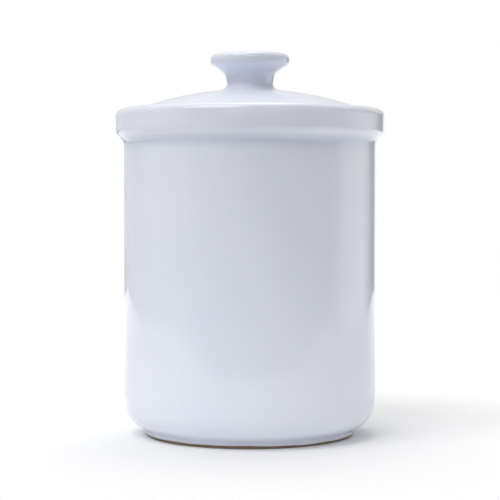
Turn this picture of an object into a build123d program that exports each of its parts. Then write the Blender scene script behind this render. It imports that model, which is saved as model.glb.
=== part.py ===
from build123d import *
import math
import os

os.makedirs("parts", exist_ok=True)

# A glazed stoneware storage jar with a collar round its mouth and a domed lid that drops inside the collar.
# Sizes are in millimetres. +Z is up, and the origin is on the table, at the centre of the foot ring.

# Jar: the outside
body_radius = 75.1
collar_radius = 80.0
jar_height = 193.6
collar_height = 14.3
collar_flare = 4.5
collar_lip_rounding = 4.6
collar_shoulder_rounding = 4.4
collar_root_rounding = 6.8

# Jar: the foot ring, and the heel that rises from it to the straight wall
foot_radius = 61.3
foot_flare = 1.6
foot_height = 3.8
foot_ring_width = 6.0
foot_edge_rounding = 0.6
foot_top_rounding = 2.0
underside_recess = 3.0
underside_rounding = 1.5
heel_radius = 74.0
heel_height = 10.7
heel_rounding = 14.9
heel_top = 27.5
heel_top_rounding = 150.0

# Jar: the inside, with the ledge inside the collar that carries the lid
bore_radius = 68.5
floor_height = 9.5
floor_rounding = 14.0
gallery_radius = 73.1
ledge_height = 185.3
lip_inside_rounding = 2.0
gallery_rounding = 1.2
ledge_edge_rounding = 1.5

# Lid: a dome with a flat rim, and a spigot that hangs into the jar
lid_radius = 72.3
lid_top = 205.6
dome_curve = 192.6
lid_thickness = 5.6
rim_gap = 0.3
rim_rounding = 1.8
spigot_radius = 66.2
spigot_thickness = 5.5
spigot_bottom = 175.0
spigot_rounding = 1.6
spigot_root_rounding = 6.0

# Knob: a separate turned piece, luted onto a flat seat at the top of the dome
knob_radius = 23.5
knob_height = 22.2
knob_seat_height = 204.4
knob_foot_radius = 18.0
knob_foot_edge = 0.6
knob_neck_radius = 13.2
knob_neck_bottom = 0.7
knob_neck_rounding = 3.9
knob_throat_radius = 14.8
knob_throat_height = 9.5
knob_throat_rounding = 5.8
knob_rim_bottom = 14.7
knob_rim_rounding = 4.5
knob_shoulder_rounding = 3.3
knob_crown_radius = 10.5
knob_crown_height = 1.6
knob_crown_rounding = 100.0

# Seal: a silicone ring in a groove round the spigot, with lips that reach out to the jar's wall
groove_depth = 2.2
groove_height = 5.0
groove_middle = 180.5
seal_inner_gap = 0.1
seal_end_gap = 0.15
seal_outer_gap = 0.2
lip_gap = 0.3
lip_thickness = 0.8
lip_rise = 0.9
lip_spacing = 2.6
lip_start = 0.3
lip_root_depth = 0.5
lip_tip_rounding = 0.3


def dome_height(radius, top, curve):
    """Height of a spherical dome at a radius from its axis."""
    return top - curve + math.sqrt(curve**2 - radius**2)


def points(outline):
    """The (radius, height) points of an outline whose rows are (radius, height, corner rounding)."""
    return [(radius, height) for radius, height, rounding in outline]


def roundings(outline):
    """The corner rounding of each point of such an outline."""
    return [rounding for radius, height, rounding in outline]


# The jar is one lathe-turned wall: underside, foot ring, heel, side, collar, gallery, ledge, bore and floor.
jar_outline = [
    (0, underside_recess, 0),
    (foot_radius - foot_ring_width, underside_recess, underside_rounding),
    (foot_radius - foot_ring_width, 0, foot_edge_rounding),
    (foot_radius, 0, foot_edge_rounding),
    (foot_radius + foot_flare, foot_height, foot_top_rounding),
    (heel_radius, heel_height, heel_rounding),
    (body_radius, heel_top, heel_top_rounding),
    (body_radius, jar_height - collar_height - collar_flare, collar_root_rounding),
    (collar_radius, jar_height - collar_height, collar_shoulder_rounding),
    (collar_radius, jar_height, collar_lip_rounding),
    (gallery_radius, jar_height, lip_inside_rounding),
    (gallery_radius, ledge_height, gallery_rounding),
    (bore_radius, ledge_height, ledge_edge_rounding),
    (bore_radius, floor_height, floor_rounding),
    (0, floor_height, 0),
]

with BuildPart() as jar_body:
    with BuildSketch(Plane.XZ):
        with BuildLine():
            FilletPolyline(*points(jar_outline), radius=roundings(jar_outline), close=True)
        make_face()
    revolve(axis=Axis.Z)

jar_body.part.label = "jar_body"
export_step(jar_body.part, "parts/jar_body.step")

# The lid: the dome outside, the rim, the grooved spigot, the dome inside, and the flat seat for the knob.
rim_top = dome_height(lid_radius, lid_top, dome_curve)
rim_bottom = ledge_height + rim_gap
seat_edge = dome_height(knob_foot_radius, lid_top, dome_curve)
groove_radius = spigot_radius - groove_depth
groove_top = groove_middle + groove_height / 2
groove_bottom = groove_middle - groove_height / 2
spigot_inside = spigot_radius - spigot_thickness
inside_top = lid_top - lid_thickness
inside_curve = dome_curve - lid_thickness
inside_edge = dome_height(spigot_inside, inside_top, inside_curve)

with BuildPart() as lid:
    with BuildSketch(Plane.XZ) as lid_section:
        with BuildLine():
            RadiusArc((knob_foot_radius, seat_edge), (lid_radius, rim_top), dome_curve)
            Polyline(
                (lid_radius, rim_top),
                (lid_radius, rim_bottom),
                (spigot_radius, rim_bottom),
                (spigot_radius, groove_top),
                (groove_radius, groove_top),
                (groove_radius, groove_bottom),
                (spigot_radius, groove_bottom),
                (spigot_radius, spigot_bottom),
                (spigot_inside, spigot_bottom),
                (spigot_inside, inside_edge),
            )
            RadiusArc((0, inside_top), (spigot_inside, inside_edge), inside_curve)
            Polyline(
                (0, inside_top),
                (0, knob_seat_height),
                (knob_foot_radius, knob_seat_height),
                (knob_foot_radius, seat_edge),
            )
        make_face()
        fillet(lid_section.vertices().group_by(Axis.X)[-1], radius=rim_rounding)
        fillet(lid_section.vertices().group_by(Axis.Y)[0], radius=spigot_rounding)
        spigot_root = lid_section.vertices().sort_by_distance((spigot_inside, inside_edge))[0]
        fillet(spigot_root, radius=spigot_root_rounding)
    revolve(axis=Axis.Z)

lid.part.label = "lid"
export_step(lid.part, "parts/lid.step")

# The knob: a foot that spreads onto the dome, a waisted neck, and a round button with a low crown.
knob_top = lid_top + knob_height
knob_outline = [
    (0, knob_seat_height, 0),
    (knob_foot_radius, knob_seat_height, 0),
    (knob_foot_radius, knob_seat_height + knob_foot_edge, 0),
    (knob_neck_radius, lid_top + knob_neck_bottom, knob_neck_rounding),
    (knob_throat_radius, lid_top + knob_throat_height, knob_throat_rounding),
    (knob_radius, lid_top + knob_rim_bottom, knob_rim_rounding),
    (knob_radius, knob_top - knob_crown_height, knob_shoulder_rounding),
    (knob_crown_radius, knob_top, knob_crown_rounding),
    (0, knob_top, 0),
]

with BuildPart() as lid_knob:
    with BuildSketch(Plane.XZ):
        with BuildLine():
            FilletPolyline(*points(knob_outline), radius=roundings(knob_outline), close=True)
        make_face()
    revolve(axis=Axis.Z)

lid_knob.part.label = "lid_knob"
export_step(lid_knob.part, "parts/lid_knob.step")

# The seal: a band that fills the groove, and two upswept lips just clear of the jar's wall.
seal_inside = groove_radius + seal_inner_gap
seal_outside = spigot_radius - seal_outer_gap
seal_top = groove_top - seal_end_gap
seal_bottom = groove_bottom + seal_end_gap
lip_tip = bore_radius - lip_gap
lip_inside = seal_inside + lip_root_depth
first_lip = seal_bottom + lip_start

with BuildPart() as seal_ring:
    with BuildSketch(Plane.XZ) as seal_section:
        with BuildLine():
            Polyline(
                (seal_inside, seal_bottom),
                (seal_outside, seal_bottom),
                (seal_outside, seal_top),
                (seal_inside, seal_top),
                close=True,
            )
        make_face()
        for lip_root in (first_lip, first_lip + lip_spacing):
            with BuildLine():
                Polyline(
                    (lip_inside, lip_root),
                    (seal_outside, lip_root),
                    (lip_tip, lip_root + lip_rise),
                    (lip_tip, lip_root + lip_rise + lip_thickness),
                    (seal_outside, lip_root + lip_thickness),
                    (lip_inside, lip_root + lip_thickness),
                    close=True,
                )
            make_face()
        fillet(seal_section.vertices().group_by(Axis.X)[-1], radius=lip_tip_rounding)
    revolve(axis=Axis.Z)

seal_ring.part.label = "seal_ring"
export_step(seal_ring.part, "parts/seal_ring.step")
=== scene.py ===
import math
from collections import namedtuple

import bpy
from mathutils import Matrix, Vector


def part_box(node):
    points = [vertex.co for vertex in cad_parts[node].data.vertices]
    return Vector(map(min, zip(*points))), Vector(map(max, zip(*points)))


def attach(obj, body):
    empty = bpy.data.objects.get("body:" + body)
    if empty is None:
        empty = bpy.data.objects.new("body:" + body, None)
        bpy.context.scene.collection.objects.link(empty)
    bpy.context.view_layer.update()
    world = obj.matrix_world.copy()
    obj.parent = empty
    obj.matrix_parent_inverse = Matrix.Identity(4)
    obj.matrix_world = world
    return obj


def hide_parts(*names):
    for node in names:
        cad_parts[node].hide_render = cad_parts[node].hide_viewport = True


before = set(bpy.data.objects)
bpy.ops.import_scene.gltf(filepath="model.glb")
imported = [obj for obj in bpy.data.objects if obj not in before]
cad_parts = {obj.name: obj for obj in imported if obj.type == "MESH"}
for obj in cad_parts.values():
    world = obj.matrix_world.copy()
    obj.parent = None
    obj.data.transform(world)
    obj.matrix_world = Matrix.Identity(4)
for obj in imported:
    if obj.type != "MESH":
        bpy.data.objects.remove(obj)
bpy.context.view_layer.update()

# ---------------------------------------------------------------- sizes, in metres
MM = 0.001

jar_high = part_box("jar_body")[1]
lid_low, lid_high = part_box("lid")
knob_low, knob_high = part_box("lid_knob")
seal_low, seal_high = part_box("seal_ring")

collar_radius = jar_high.x
jar_height = jar_high.z
body_radius = collar_radius - 4.9 * MM
bore_radius = collar_radius - 11.5 * MM
gallery_radius = collar_radius - 6.9 * MM
ledge_height = jar_height - 8.3 * MM
collar_bottom = jar_height - 14.3 * MM
collar_root = collar_bottom - 4.5 * MM

foot_radius = 61.3 * MM
ring_inside = foot_radius - 6.0 * MM
recess_height = 3.0 * MM
floor_height = 9.5 * MM
heel_radius = collar_radius - 6.0 * MM
heel_height = 10.7 * MM
heel_top = 27.5 * MM
foot_wall_top = 3.8 * MM
foot_wall_flare = 1.6 * MM
glaze_line = 1.6 * MM
glaze_edge = 0.35 * MM

lid_radius = lid_high.x
spigot_bottom = lid_low.z
rim_bottom = ledge_height + 0.3 * MM
lid_apex = knob_high.z - 22.2 * MM
dome_curve = 192.6 * MM
lid_thickness = 5.6 * MM
spigot_radius = 66.2 * MM
spigot_inside = spigot_radius - 5.5 * MM
groove_radius = spigot_radius - 2.2 * MM
groove_low = seal_low.z - 0.15 * MM
groove_high = seal_high.z + 0.15 * MM
lid_bare_height = spigot_bottom + 0.8 * MM

knob_radius = knob_high.x
knob_top = knob_high.z
knob_foot = 18.0 * MM
knob_neck = 13.2 * MM
knob_neck_height = lid_apex + 0.7 * MM
knob_throat = 14.8 * MM
knob_throat_height = lid_apex + 9.5 * MM
knob_rim_height = lid_apex + 14.7 * MM
knob_crown_drop = 1.6 * MM
knob_crown = 10.5 * MM

# how finely a turned piece is divided
SEGMENTS = 192
RUN_STEP = 3.0 * MM
ARC_STEP = math.radians(5)
AXIS_RADIUS = 1e-9

# how the glaze gathers, which also paints shade into hollows and just above the foot and a highlight
# onto edges, and where its edge wanders
POOL_SHADE_REACH = 3 * MM
FULL_POOL_SHADE_TURN = 1.2
# the rolled glaze above the wiped line also paints shade just above the foot
ROLL_SHADE_REACH = 1.4 * MM
ROLL_SHADE_AMOUNT = 0.8
RIPPLE_REACH = 0.45 * MM
RIPPLE_SIZE = 0.16 * MM
WAVINESS = 0.012 * MM


# ---------------------------------------------------------------- turned shapes
def dome_height(radius, apex, curve):
    """Height of a spherical dome at a radius from the axis."""
    return apex - curve + math.sqrt(curve * curve - radius * radius)


def dome_rows(start, end, apex, curve):
    """Rows of an outline that follow a spherical dome from one radius to another."""
    count = max(2, round(abs(end - start) / RUN_STEP))
    radii = [start + (end - start) * i / count for i in range(count + 1)]
    return [(radius, dome_height(radius, apex, curve), 0) for radius in radii]


def rounded(rows, closed=False):
    """The fine outline of rows (radius, height, corner rounding): corners as arcs, long runs divided."""
    corners = [Vector(row[:2]) for row in rows]
    count = len(rows)
    spans = []
    for i, (radius, height, rounding) in enumerate(rows):
        here = corners[i]
        if rounding == 0 or (not closed and i in (0, count - 1)):
            spans.append([here])
            continue
        before = (here - corners[i - 1]).normalized()
        after = (corners[(i + 1) % count] - here).normalized()
        turn = math.atan2(before.x * after.y - before.y * after.x, before.dot(after))
        reach = rounding * math.tan(abs(turn) / 2)
        start = here - before * reach
        side = math.copysign(1, turn)
        centre = start + side * rounding * Vector((-before.y, before.x))
        first = math.atan2(start.y - centre.y, start.x - centre.x)
        steps = max(3, math.ceil(abs(turn) / ARC_STEP))
        angles = [first + turn * k / steps for k in range(steps + 1)]
        spans.append([centre + rounding * Vector((math.cos(a), math.sin(a))) for a in angles])
    outline = []
    for i, span in enumerate(spans):
        outline.extend(span)
        if i == count - 1 and not closed:
            break
        gap = spans[(i + 1) % count][0] - span[-1]
        pieces = math.ceil(gap.length / RUN_STEP)
        outline.extend(span[-1] + gap * k / pieces for k in range(1, pieces))
    return outline


def pooling_and_shade(outline, closed, pool_and_shade_strength):
    """For each point, how much glaze gathers there: above 0 in a hollow, painted darker as shade, below
    0 on an edge, painted lighter as a highlight.
    """
    count = len(outline)
    lengths = [0.0]
    for a, b in zip(outline, outline[1:]):
        lengths.append(lengths[-1] + (b - a).length)
    turns = []
    for i in range(count):
        if not closed and i in (0, count - 1):
            turns.append(0.0)
            continue
        before = outline[i] - outline[i - 1]
        after = outline[(i + 1) % count] - outline[i]
        turns.append(math.atan2(before.x * after.y - before.y * after.x, before.dot(after)))
    pool_shades = []
    for here in lengths:
        total = 0.0
        for there, turn in zip(lengths, turns):
            total -= turn * math.exp(-(((there - here) / POOL_SHADE_REACH) ** 2))
        pool_shades.append(pool_and_shade_strength * max(-1.0, min(1.0, total / FULL_POOL_SHADE_TURN)))
    return pool_shades


def glaze_roll_and_contact_shade(height, line):
    """How much more glaze gathers just above the line where it was wiped off; it also paints shade
    there, darker just above the foot.
    """
    if line is None or height < line:
        return 0.0
    return ROLL_SHADE_AMOUNT * math.exp(-(((height - line) / ROLL_SHADE_REACH) ** 2))


def unevenness(azimuth, height):
    """How far the wall lies inside its true circle: the slight waviness of pottery."""
    long_wave = math.sin(2 * azimuth + 0.7) + 0.6 * math.sin(3 * azimuth - 1.1)
    slow_wave = math.sin(height / (21 * MM) + 2.0 * math.cos(azimuth + 0.4))
    short_wave = 0.4 * math.sin(5 * azimuth + height / (13 * MM))
    return WAVINESS * (2.6 + long_wave * 0.6 + slow_wave * 0.6 + short_wave)


def ripple(azimuth, height, line):
    """How far the edge of the glaze wanders up or down, near the line where it ends."""
    if line is None:
        return 0.0
    near = math.exp(-(((height - line) / RIPPLE_REACH) ** 2))
    wave = math.sin(3 * azimuth + 1.0) + 0.7 * math.sin(7 * azimuth)
    wave += 0.5 * math.sin(16 * azimuth + 2)
    return RIPPLE_SIZE * near * wave


def ring_points(outline, pool_shades, wave_line):
    """The vertices ring by ring, how much glaze gathers at each with the painted shade and highlight it
    brings, and each ring's indices.
    """
    vertices, pool_shade_amounts, rings = [], [], []
    for point, pool_shade in zip(outline, pool_shades):
        start = len(vertices)
        if point.x < AXIS_RADIUS:
            rings.append([start])
            vertices.append((0.0, 0.0, point.y))
            pool_shade_amounts.append(pool_shade)
            continue
        rings.append(list(range(start, start + SEGMENTS)))
        for k in range(SEGMENTS):
            azimuth = 2 * math.pi * k / SEGMENTS
            radius = point.x - unevenness(azimuth, point.y)
            height = point.y + ripple(azimuth, point.y, wave_line)
            vertices.append((radius * math.cos(azimuth), radius * math.sin(azimuth), height))
            # the rolled glaze just above the wiped line is painted darker, as shade
            pool_shade_amounts.append(pool_shade + glaze_roll_and_contact_shade(height, wave_line))
    return vertices, pool_shade_amounts, rings


def band_faces(low, high):
    """The faces between two neighbouring rings, either of which may be a single point."""
    faces = []
    for k in range(SEGMENTS):
        after = (k + 1) % SEGMENTS
        if len(low) == 1:
            faces.append((low[0], high[after], high[k]))
        elif len(high) == 1:
            faces.append((low[k], low[after], high[0]))
        else:
            faces.append((low[k], low[after], high[after], high[k]))
    return faces


def turned(name, rows, materials, closed=False, bare_below=None, wave_line=None, pool_and_shade_strength=1.0):
    """A surface of revolution about Z. Faces under bare_below take the second material.

    The edge of the glaze ripples at wave_line, and the last argument says how strongly the glaze pools,
    and so how much shade is painted into hollows and light onto edges.
    """
    outline = rounded(rows, closed)
    pool_shades = pooling_and_shade(outline, closed, pool_and_shade_strength)
    vertices, pool_shade_amounts, rings = ring_points(outline, pool_shades, wave_line)
    pairs = list(zip(rings, rings[1:]))
    if closed:
        pairs.append((rings[-1], rings[0]))
    faces, bare = [], []
    for low, high in pairs:
        band = band_faces(low, high)
        middle = (vertices[low[0]][2] + vertices[high[0]][2]) / 2
        faces.extend(band)
        bare.extend([bare_below is not None and middle < bare_below] * len(band))
    mesh = bpy.data.meshes.new(name)
    mesh.from_pydata(vertices, [], faces)
    for material in materials:
        mesh.materials.append(material)
    mesh.polygons.foreach_set("material_index", [int(b) for b in bare])
    mesh.polygons.foreach_set("use_smooth", [True] * len(faces))
    # the attribute carries the glaze pooling together with the painted shade and highlight that come
    # with it
    attribute = mesh.attributes.new("glaze_pool_and_shade", "FLOAT", "POINT")
    attribute.data.foreach_set("value", pool_shade_amounts)
    mesh.validate()
    mesh.update()
    piece = bpy.data.objects.new(name, mesh)
    bpy.context.scene.collection.objects.link(piece)
    return piece


# ---------------------------------------------------------------- materials
def new_material(name):
    """A node material with one Principled shader: the material, its node tree and the shader."""
    material = bpy.data.materials.new(name)
    material.use_nodes = True
    tree = material.node_tree
    tree.nodes.clear()
    output = tree.nodes.new("ShaderNodeOutputMaterial")
    shader = tree.nodes.new("ShaderNodeBsdfPrincipled")
    tree.links.new(shader.outputs["BSDF"], output.inputs["Surface"])
    return material, tree, shader


NOISE_ROUGHNESS = 0.5
# the band that noise mostly keeps to
NOISE_LOW = 0.3
NOISE_HIGH = 0.7


def noise(tree, place, scale, detail=3.0):
    """Smooth noise from 0 to 1; scale is about the number of features per metre."""
    node = tree.nodes.new("ShaderNodeTexNoise")
    node.inputs["Scale"].default_value = scale
    node.inputs["Detail"].default_value = detail
    node.inputs["Roughness"].default_value = NOISE_ROUGHNESS
    tree.links.new(place, node.inputs["Vector"])
    return node.outputs["Fac"]


def remap(tree, value, low, high, to_low, to_high):
    """A value from low to high, brought to the range to_low to to_high and clamped there."""
    node = tree.nodes.new("ShaderNodeMapRange")
    node.inputs["From Min"].default_value = low
    node.inputs["From Max"].default_value = high
    node.inputs["To Min"].default_value = to_low
    node.inputs["To Max"].default_value = to_high
    tree.links.new(value, node.inputs["Value"])
    return node.outputs["Result"]


def math_node(tree, operation, a, b):
    """An operation on two values, each a number or a socket. One on a single value ignores b."""
    node = tree.nodes.new("ShaderNodeMath")
    node.operation = operation
    for socket, value in zip(node.inputs, (a, b)):
        if isinstance(value, (int, float)):
            socket.default_value = value
        else:
            tree.links.new(value, socket)
    return node.outputs["Value"]


# the sockets of a Mix node in its colour form
MIX_FACTOR = 0
MIX_FIRST = 6
MIX_SECOND = 7
MIX_RESULT = 2


def mixed(tree, factor, a, b):
    """A colour between a and b; each is a colour or a socket."""
    node = tree.nodes.new("ShaderNodeMix")
    node.data_type = "RGBA"
    tree.links.new(factor, node.inputs[MIX_FACTOR])
    for socket, value in ((node.inputs[MIX_FIRST], a), (node.inputs[MIX_SECOND], b)):
        if isinstance(value, tuple):
            socket.default_value = (*value, 1.0)
        else:
            tree.links.new(value, socket)
    return node.outputs[MIX_RESULT]


def bump(tree, height, distance, strength, before=None):
    """A normal tilted by a height map, on top of an earlier one if there is one."""
    node = tree.nodes.new("ShaderNodeBump")
    node.inputs["Distance"].default_value = distance
    node.inputs["Strength"].default_value = strength
    tree.links.new(height, node.inputs["Height"])
    if before is not None:
        tree.links.new(before, node.inputs["Normal"])
    return node.outputs["Normal"]


# how much of a speck's radius is fully coloured, before it fades
SPECK_CORE = 0.6


def specks(tree, place, scale, size, share):
    """1 inside small round spots, one in some of the cells, and 0 elsewhere."""
    cells = tree.nodes.new("ShaderNodeTexVoronoi")
    cells.inputs["Scale"].default_value = scale
    tree.links.new(place, cells.inputs["Vector"])
    spot = remap(tree, cells.outputs["Distance"], size * SPECK_CORE, size, 1.0, 0.0)
    split = tree.nodes.new("ShaderNodeSeparateColor")
    tree.links.new(cells.outputs["Color"], split.inputs["Color"])
    chosen = math_node(tree, "LESS_THAN", split.outputs["Red"], share)
    return math_node(tree, "MULTIPLY", spot, chosen)


GLAZE_COOL = (0.785, 0.818, 0.918)
GLAZE_WARM = (0.810, 0.840, 0.930)
# painted shade as well as thicker glaze: the colour of hollows, under the collar and just above the foot
GLAZE_POOLED_SHADED = (0.60, 0.65, 0.79)
# painted highlight as well as thinner glaze: the colour of edges
GLAZE_THIN_LIT = (0.86, 0.87, 0.91)
GLAZE_PIT = (0.42, 0.38, 0.34)
GLAZE_IOR = 1.58
GLAZE_SMOOTH = 0.055
GLAZE_DULL = 0.10
CLOUD_SCALE = 14.0
DULLNESS_SCALE = 40.0
# how far hollows go toward the pooled colour, painted shade included
POOL_SHADE_TINT = 0.9
# how far edges go toward the thin colour, painted highlight included
EDGE_LIGHT_TINT = 0.15
PIT_SCALE = 90.0
PIT_SIZE = 0.028
PIT_SHARE = 0.16
PIT_STAIN = 0.45
PIT_DEPTH = 0.08 * MM
PIT_STRENGTH = 0.6
PEEL_SCALE = 260.0
PEEL_DEPTH = 0.02 * MM
PEEL_STRENGTH = 0.35


def make_glaze():
    """Glossy pale blue-white glaze over stoneware, with painted shade where it pools and a painted
    highlight on its edges.
    """
    material, tree, shader = new_material("stoneware_glaze")
    place = tree.nodes.new("ShaderNodeTexCoord").outputs["Object"]
    pool_shade = tree.nodes.new("ShaderNodeAttribute")
    pool_shade.attribute_name = "glaze_pool_and_shade"

    clouds = remap(tree, noise(tree, place, CLOUD_SCALE, detail=4.0), 0.35, 0.65, 0.0, 1.0)
    colour = mixed(tree, clouds, GLAZE_COOL, GLAZE_WARM)
    # painted shade: darker in hollows, under the collar and just above the foot, along with the pooled
    # glaze
    hollow_shade = remap(tree, pool_shade.outputs["Fac"], 0.0, 1.0, 0.0, POOL_SHADE_TINT)
    colour = mixed(tree, hollow_shade, colour, GLAZE_POOLED_SHADED)
    # painted highlight: lighter on edges, along with the thinner glaze
    edge = remap(tree, pool_shade.outputs["Fac"], 0.0, -1.0, 0.0, EDGE_LIGHT_TINT)
    colour = mixed(tree, edge, colour, GLAZE_THIN_LIT)
    pits = specks(tree, place, PIT_SCALE, PIT_SIZE, PIT_SHARE)
    colour = mixed(tree, remap(tree, pits, 0.0, 1.0, 0.0, PIT_STAIN), colour, GLAZE_PIT)
    tree.links.new(colour, shader.inputs["Base Color"])

    haze = noise(tree, place, DULLNESS_SCALE, detail=4.0)
    dull = remap(tree, haze, NOISE_LOW, NOISE_HIGH, GLAZE_SMOOTH, GLAZE_DULL)
    tree.links.new(dull, shader.inputs["Roughness"])
    shader.inputs["IOR"].default_value = GLAZE_IOR

    peel = noise(tree, place, PEEL_SCALE, detail=2.0)
    normal = bump(tree, peel, PEEL_DEPTH, PEEL_STRENGTH)
    sunk = math_node(tree, "MULTIPLY", pits, -1.0)
    normal = bump(tree, sunk, PIT_DEPTH, PIT_STRENGTH, normal)
    tree.links.new(normal, shader.inputs["Normal"])
    return material


# the bare clay's colours are darkened in part as painted shade, for the shade that the foot ring sits in
CLAY_DARK = (0.19, 0.13, 0.075)
CLAY_LIGHT = (0.25, 0.18, 0.11)
CLAY_GRAIN = (0.32, 0.24, 0.155)
CLAY_IRON = (0.13, 0.08, 0.05)
CLAY_SMOOTH = 0.78
CLAY_DULL = 0.95
GRAIN_SCALE = 1400.0
GRAIN_DEPTH = 0.12 * MM
GRAIN_STRENGTH = 0.7
GRAIN_STAIN = 0.5
CLAY_PATCH_SCALE = 60.0
IRON_SCALE = 420.0
IRON_SIZE = 0.16
IRON_SHARE = 0.22
IRON_STAIN = 0.7


def make_clay():
    """Bare fired stoneware, where the glaze was wiped off before firing."""
    material, tree, shader = new_material("bare_stoneware")
    place = tree.nodes.new("ShaderNodeTexCoord").outputs["Object"]
    grain = noise(tree, place, GRAIN_SCALE)
    patches = noise(tree, place, CLAY_PATCH_SCALE, detail=4.0)
    cloudy = remap(tree, patches, NOISE_LOW, NOISE_HIGH, 0.0, 1.0)
    colour = mixed(tree, cloudy, CLAY_DARK, CLAY_LIGHT)
    colour = mixed(tree, remap(tree, grain, 0.3, 0.75, 0.0, GRAIN_STAIN), colour, CLAY_GRAIN)
    iron = specks(tree, place, IRON_SCALE, IRON_SIZE, IRON_SHARE)
    colour = mixed(tree, remap(tree, iron, 0.0, 1.0, 0.0, IRON_STAIN), colour, CLAY_IRON)
    tree.links.new(colour, shader.inputs["Base Color"])
    dull = remap(tree, grain, 0.2, 0.8, CLAY_SMOOTH, CLAY_DULL)
    tree.links.new(dull, shader.inputs["Roughness"])
    normal = bump(tree, grain, GRAIN_DEPTH, GRAIN_STRENGTH)
    tree.links.new(normal, shader.inputs["Normal"])
    return material


SILICONE_MILKY = (0.80, 0.81, 0.80)
SILICONE_PALE = (0.87, 0.875, 0.87)
SILICONE_IOR = 1.41
SILICONE_SMOOTH = 0.36
SILICONE_DULL = 0.5
HAZE_SCALE = 90.0
SKIN_SCALE = 500.0
SKIN_BUMP_SCALE = 900.0
SKIN_DEPTH = 0.03 * MM
SKIN_STRENGTH = 0.4
SCATTER_SHARE = 0.35
SCATTER_SPREAD = (1.0, 0.95, 0.9)
SCATTER_REACH = 1.5 * MM


def make_silicone():
    """Milky food silicone, a little translucent, with a satin skin."""
    material, tree, shader = new_material("milky_silicone")
    place = tree.nodes.new("ShaderNodeTexCoord").outputs["Object"]
    haze = noise(tree, place, HAZE_SCALE, detail=4.0)
    cloudy = remap(tree, haze, NOISE_LOW, NOISE_HIGH, 0.0, 1.0)
    colour = mixed(tree, cloudy, SILICONE_MILKY, SILICONE_PALE)
    tree.links.new(colour, shader.inputs["Base Color"])
    skin = noise(tree, place, SKIN_SCALE)
    dull = remap(tree, skin, NOISE_LOW, NOISE_HIGH, SILICONE_SMOOTH, SILICONE_DULL)
    tree.links.new(dull, shader.inputs["Roughness"])
    shader.inputs["IOR"].default_value = SILICONE_IOR
    shader.inputs["Subsurface Weight"].default_value = SCATTER_SHARE
    shader.inputs["Subsurface Radius"].default_value = SCATTER_SPREAD
    shader.inputs["Subsurface Scale"].default_value = SCATTER_REACH
    normal = bump(tree, noise(tree, place, SKIN_BUMP_SCALE), SKIN_DEPTH, SKIN_STRENGTH)
    tree.links.new(normal, shader.inputs["Normal"])
    return material


glaze = make_glaze()
clay = make_clay()
silicone = make_silicone()


# ---------------------------------------------------------------- the jar
def make_jar():
    """The vessel, with the bare foot ring and the rolled edge of the glaze above it, which carries
    painted shade.
    """
    bead = glaze_edge
    sill = glaze_line + 0.05 * MM
    clay_top = foot_radius + 0.55 * MM
    roll_top = glaze_line + 0.8 * MM
    # each row is a radius, a height and the rounding of the corner, from the underside outwards
    # and up, and down again inside
    rows = [
        (0, recess_height, 0),
        (ring_inside - bead, recess_height, 1.0 * MM),
        (ring_inside - bead, sill, 0.16 * MM),
        (ring_inside, glaze_line, 0.05 * MM),
        (ring_inside, 0, 0.6 * MM),
        (foot_radius, 0, 0.6 * MM),
        (clay_top, glaze_line, 0.05 * MM),
        (clay_top + bead, sill, 0.16 * MM),
        (foot_radius + 0.65 * MM + bead, roll_top, 0.6 * MM),
        (foot_radius + foot_wall_flare, foot_wall_top, 2.0 * MM),
        (heel_radius, heel_height, 14.9 * MM),
        (body_radius, heel_top, 150 * MM),
        (body_radius, collar_root, 6.8 * MM),
        (collar_radius, collar_bottom, 4.4 * MM),
        (collar_radius, jar_height, 4.6 * MM),
        (gallery_radius, jar_height, 2.0 * MM),
        (gallery_radius, ledge_height, 1.2 * MM),
        (bore_radius, ledge_height, 1.5 * MM),
        (bore_radius, floor_height, 14.0 * MM),
        (0, floor_height, 0),
    ]
    jar = turned("glazed_jar", rows, [glaze, clay], bare_below=glaze_line, wave_line=glaze_line)
    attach(jar, "jar")
    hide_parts("jar_body")


def make_lid():
    """The domed lid, its rim, and the grooved spigot that it was fired standing on."""
    seat = knob_foot - 1.0 * MM
    inside_apex = lid_apex - lid_thickness
    inside_curve = dome_curve - lid_thickness
    outside = dome_rows(seat, lid_radius, lid_apex, dome_curve)
    inside = dome_rows(spigot_inside, 0.0, inside_apex, inside_curve)
    rim_top = outside[-1][1]
    root = inside[0][1]
    groove_corner = 0.3 * MM
    inner_dome = [row for row in inside if row[0] < spigot_inside - 5.0 * MM]
    rows = inner_dome[::-1] + [
        (spigot_inside, root, 6.0 * MM),
        (spigot_inside, spigot_bottom, 1.6 * MM),
        (spigot_radius, spigot_bottom, 1.6 * MM),
        (spigot_radius, groove_low, groove_corner),
        (groove_radius, groove_low, groove_corner),
        (groove_radius, groove_high, groove_corner),
        (spigot_radius, groove_high, groove_corner),
        (spigot_radius, rim_bottom, 0.8 * MM),
        (lid_radius, rim_bottom, 1.8 * MM),
        (lid_radius, rim_top, 1.8 * MM),
    ] + outside[-2::-1] + [(0, dome_height(seat, lid_apex, dome_curve), 0)]
    edge = lid_bare_height
    lid = turned("glazed_lid", rows, [glaze, clay], bare_below=edge, wave_line=edge, pool_and_shade_strength=0.5)
    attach(lid, "lid")
    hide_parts("lid")


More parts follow.
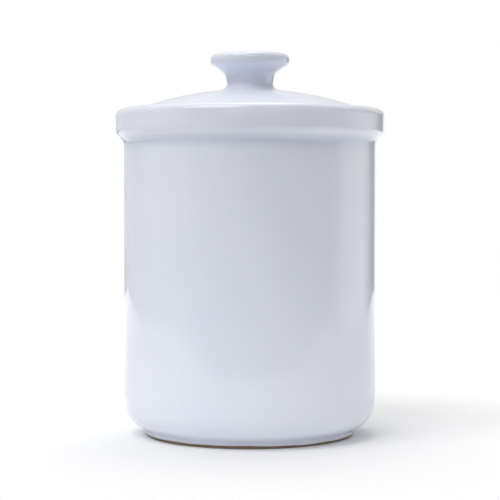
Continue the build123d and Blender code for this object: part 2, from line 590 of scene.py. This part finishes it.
def make_knob():
    """The knob, with the glaze run out to a fine edge where its foot meets the dome."""
    glaze_run = 0.9 * MM
    foot_edge = knob_foot + glaze_run
    bottom = knob_low.z
    rows = [
        (0, bottom, 0),
        (knob_foot, bottom, 0.1 * MM),
        (foot_edge, dome_height(foot_edge, lid_apex, dome_curve) - 0.05 * MM, 0.05 * MM),
        (knob_foot + 0.1 * MM, bottom + 0.55 * MM, 0.9 * MM),
        (knob_neck, knob_neck_height, 3.9 * MM),
        (knob_throat, knob_throat_height, 5.8 * MM),
        (knob_radius, knob_rim_height, 4.5 * MM),
        (knob_radius, knob_top - knob_crown_drop, 3.3 * MM),
        (knob_crown, knob_top, 100 * MM),
        (0, knob_top, 0),
    ]
    knob = turned("glazed_knob", rows, [glaze], pool_and_shade_strength=0.1)
    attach(knob, "lid")
    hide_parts("lid_knob")


def make_seal():
    """The silicone ring: a band in the lid's groove with two soft lips."""
    inside = groove_radius + 0.1 * MM
    outside = spigot_radius - 0.2 * MM
    tip = seal_high.x
    low, high = seal_low.z, seal_high.z
    lip = 0.8 * MM
    rise = 0.9 * MM
    lip_spacing = 2.6 * MM
    first = low + 0.3 * MM
    second = first + lip_spacing
    rows = [(inside, low, 0.3 * MM), (outside, low, 0.15 * MM)]
    for root in (first, second):
        rows += [
            (outside, root, 0.1 * MM),
            (tip, root + rise, 0.35 * MM),
            (tip, root + rise + lip, 0.35 * MM),
            (outside, root + lip, 0.25 * MM),
        ]
    rows += [(outside, high, 0.3 * MM), (inside, high, 0.3 * MM)]
    seal = turned("silicone_seal", rows, [silicone], closed=True)
    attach(seal, "seal")
    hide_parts("seal_ring")


make_jar()
make_lid()
make_knob()
make_seal()


# ---------------------------------------------------------------- table, light and camera
TABLE_LEFT = -0.92
TABLE_RIGHT = 0.82
TABLE_FRONT = -0.42
TABLE_BACK = 1.3
TABLE_WHITE = (0.90, 0.90, 0.90)
TABLE_SHADE = (0.88, 0.88, 0.88)
TABLE_CLOUD_SCALE = 5.0
# the table lies a hair under the foot, and its glow rises behind the jar until it is as white
# as the background
TABLE_GAP = 0.05 * MM
TABLE_GLOW = 0.06
FAR_TABLE_GLOW = 0.5
GLOW_START = 0.3
GLOW_END = 1.0
# the camera also sees the table pale towards its edges, so that no edge shows from behind
EDGE_START = 0.27
EDGE_END = 0.40
EDGE_GLOW = 0.5


def make_table():
    """A white matt table that ends a little in front of the jar and pales into the sweep behind."""
    outline = [
        (TABLE_LEFT, TABLE_FRONT),
        (TABLE_RIGHT, TABLE_FRONT),
        (TABLE_RIGHT, TABLE_BACK),
        (TABLE_LEFT, TABLE_BACK),
    ]
    corners = [(x, y, -TABLE_GAP) for x, y in outline]
    mesh = bpy.data.meshes.new("table")
    mesh.from_pydata(corners, [], [(0, 1, 2, 3)])
    material, tree, shader = new_material("table_white")
    place = tree.nodes.new("ShaderNodeTexCoord").outputs["Object"]
    colour = mixed(tree, noise(tree, place, TABLE_CLOUD_SCALE), TABLE_SHADE, TABLE_WHITE)
    tree.links.new(colour, shader.inputs["Base Color"])
    shader.inputs["Roughness"].default_value = 0.9
    shader.inputs["Emission Color"].default_value = (1.0, 1.0, 1.0, 1.0)
    depth = tree.nodes.new("ShaderNodeSeparateXYZ")
    tree.links.new(place, depth.inputs[0])
    glow = remap(tree, depth.outputs["Y"], GLOW_START, GLOW_END, TABLE_GLOW, FAR_TABLE_GLOW)
    distance = tree.nodes.new("ShaderNodeVectorMath")
    distance.operation = "LENGTH"
    tree.links.new(place, distance.inputs[0])
    edge = remap(tree, distance.outputs["Value"], EDGE_START, EDGE_END, 0.0, EDGE_GLOW)
    seen = tree.nodes.new("ShaderNodeLightPath").outputs["Is Camera Ray"]
    glow = math_node(tree, "ADD", glow, math_node(tree, "MULTIPLY", edge, seen))
    tree.links.new(glow, shader.inputs["Emission Strength"])
    mesh.materials.append(material)
    table = bpy.data.objects.new("table", mesh)
    bpy.context.scene.collection.objects.link(table)


# The studio that the jar reflects is a plain grey room with patches painted over it in turn.
# A patch's azimuth is in degrees to the right of the front, and its half width is in degrees
# as well. Its low and high edges are sines of elevation. The fades are the widths of its
# soft edges, in the same two units. Each level is a radiance, where 1 is plain white.
Patch = namedtuple("Patch", "azimuth half_width low high side_fade height_fade level")
ROOM_LEVEL = 0.25
ALL_ROUND = 360
PATCHES = [
    # the ceiling
    Patch(0, ALL_ROUND, low=0.55, high=2.0, side_fade=1, height_fade=0.3, level=0.8),
    # the wall behind the jar, and the white sweep in front of it
    Patch(180, 50, low=-0.05, high=0.55, side_fade=40, height_fade=0.1, level=0.7),
    Patch(172, 20, low=-2.0, high=0.06, side_fade=12, height_fade=0.06, level=1.1),
    # the pale side walls, left and right
    Patch(-85, 30, low=0.0, high=0.45, side_fade=40, height_fade=0.1, level=0.8),
    Patch(85, 30, low=0.05, high=0.45, side_fade=40, height_fade=0.1, level=0.65),
    # the dark room low in front, where the camera stands
    Patch(15, 50, low=-2.0, high=0.04, side_fade=60, height_fade=0.08, level=0.05),
    # a pale card just over the camera, too high for most of the straight wall to reflect
    Patch(0, 30, low=0.07, high=0.2, side_fade=30, height_fade=0.06, level=1.0),
    # light thrown back over the camera
    Patch(10, 30, low=0.2, high=0.45, side_fade=40, height_fade=0.12, level=1.2),
    # the broad key light, up on the left in front
    Patch(-40, 30, low=0.68, high=0.92, side_fade=30, height_fade=0.1, level=5.0),
    # the unlit ceiling on the right in front
    Patch(50, 45, low=0.5, high=0.92, side_fade=30, height_fade=0.15, level=0.1),
    # the window on the right
    Patch(108, 20, low=-0.2, high=0.1, side_fade=20, height_fade=0.08, level=1.4),
    # the dark flag between the window and the sweep
    Patch(147, 9, low=-0.2, high=0.15, side_fade=4, height_fade=0.08, level=0.1),
]


def smooth_step(tree, value, edge, fade, before, after):
    """A soft step from one number to another, centred on an edge."""
    node = tree.nodes.new("ShaderNodeMapRange")
    node.interpolation_type = "SMOOTHSTEP"
    node.inputs["From Min"].default_value = edge - fade / 2
    node.inputs["From Max"].default_value = edge + fade / 2
    node.inputs["To Min"].default_value = before
    node.inputs["To Max"].default_value = after
    tree.links.new(value, node.inputs["Value"])
    return node.outputs["Result"]


HALF_TURN = 180.0


def patch_cover(tree, azimuth, height, patch):
    """How far a patch covers a direction: 1 inside it, 0 outside, soft at its edges."""
    turn = math_node(tree, "SUBTRACT", azimuth, patch.azimuth)
    wrapped = tree.nodes.new("ShaderNodeMath")
    wrapped.operation = "WRAP"
    wrapped.inputs[1].default_value = HALF_TURN
    wrapped.inputs[2].default_value = -HALF_TURN
    tree.links.new(turn, wrapped.inputs[0])
    away = math_node(tree, "ABSOLUTE", wrapped.outputs["Value"], 0.0)
    across = smooth_step(tree, away, patch.half_width, patch.side_fade, 1.0, 0.0)
    above = smooth_step(tree, height, patch.low, patch.height_fade, 0.0, 1.0)
    below = smooth_step(tree, height, patch.high, patch.height_fade, 1.0, 0.0)
    return math_node(tree, "MULTIPLY", across, math_node(tree, "MULTIPLY", above, below))


def studio_level(tree):
    """The studio's brightness in each direction, as one socket."""
    way = tree.nodes.new("ShaderNodeTexCoord").outputs["Generated"]
    split = tree.nodes.new("ShaderNodeSeparateXYZ")
    tree.links.new(way, split.inputs[0])
    forward = math_node(tree, "MULTIPLY", split.outputs["Y"], -1.0)
    azimuth = math_node(tree, "ARCTAN2", split.outputs["X"], forward)
    degrees = math_node(tree, "MULTIPLY", azimuth, math.degrees(1))
    level = ROOM_LEVEL
    for patch in PATCHES:
        cover = patch_cover(tree, degrees, split.outputs["Z"], patch)
        change = math_node(tree, "SUBTRACT", patch.level, level)
        level = math_node(tree, "ADD", level, math_node(tree, "MULTIPLY", cover, change))
    return level


def make_world():
    """The studio as the jar sees it; the camera sees plain white behind the jar."""
    world = bpy.data.worlds.new("studio")
    bpy.context.scene.world = world
    world.use_nodes = True
    tree = world.node_tree
    tree.nodes.clear()
    output = tree.nodes.new("ShaderNodeOutputWorld")
    light = tree.nodes.new("ShaderNodeBackground")
    tree.links.new(studio_level(tree), light.inputs["Color"])
    white = tree.nodes.new("ShaderNodeBackground")
    white.inputs["Color"].default_value = (1.0, 1.0, 1.0, 1.0)
    seen = tree.nodes.new("ShaderNodeLightPath").outputs["Is Camera Ray"]
    choice = tree.nodes.new("ShaderNodeMixShader")
    tree.links.new(seen, choice.inputs[0])
    tree.links.new(light.outputs[0], choice.inputs[1])
    tree.links.new(white.outputs[0], choice.inputs[2])
    tree.links.new(choice.outputs[0], output.inputs["Surface"])


# Three soft panels overhead: each one's place, size and radiance.
Softbox = namedtuple("Softbox", "name x y height size level")
SOFTBOXES = [
    Softbox("softbox_left_back", -0.25, 0.4, 1.15, 0.4, 1.5),
    Softbox("softbox_middle", 0.05, 0.1, 1.15, 0.35, 3.8),
    Softbox("softbox_right_back", 0.15, 0.45, 1.15, 0.35, 2.0),
]
LIT_HEIGHT = 0.1


def make_softboxes():
    """Square panels aimed at the middle of the jar."""
    for box in SOFTBOXES:
        lamp = bpy.data.lights.new(box.name, "AREA")
        lamp.shape = "SQUARE"
        lamp.size = box.size
        lamp.energy = math.pi * box.size**2 * box.level
        softbox = bpy.data.objects.new(box.name, lamp)
        softbox.location = (box.x, box.y, box.height)
        aim = Vector((0, 0, LIT_HEIGHT)) - softbox.location
        softbox.rotation_euler = aim.to_track_quat("-Z", "Y").to_euler()
        softbox.visible_camera = False
        bpy.context.scene.collection.objects.link(softbox)


CAMERA_DISTANCE = 0.947
CAMERA_HEIGHT = 0.1404
CAMERA_TIP = 0.0322
LENS_LENGTH = 114.1
SENSOR_WIDTH = 36.0


def make_camera():
    """A long lens about a metre in front, at two thirds of the jar's height, tipped slightly down."""
    data = bpy.data.cameras.new("camera")
    data.sensor_width = SENSOR_WIDTH
    data.lens = LENS_LENGTH
    camera = bpy.data.objects.new("camera", data)
    camera.location = (0, -CAMERA_DISTANCE, CAMERA_HEIGHT)
    camera.rotation_euler = (math.pi / 2 - CAMERA_TIP, 0, 0)
    bpy.context.scene.collection.objects.link(camera)
    bpy.context.scene.camera = camera


make_table()
make_world()
make_softboxes()
make_camera()
bpy.context.scene.view_settings.view_transform = "Standard"
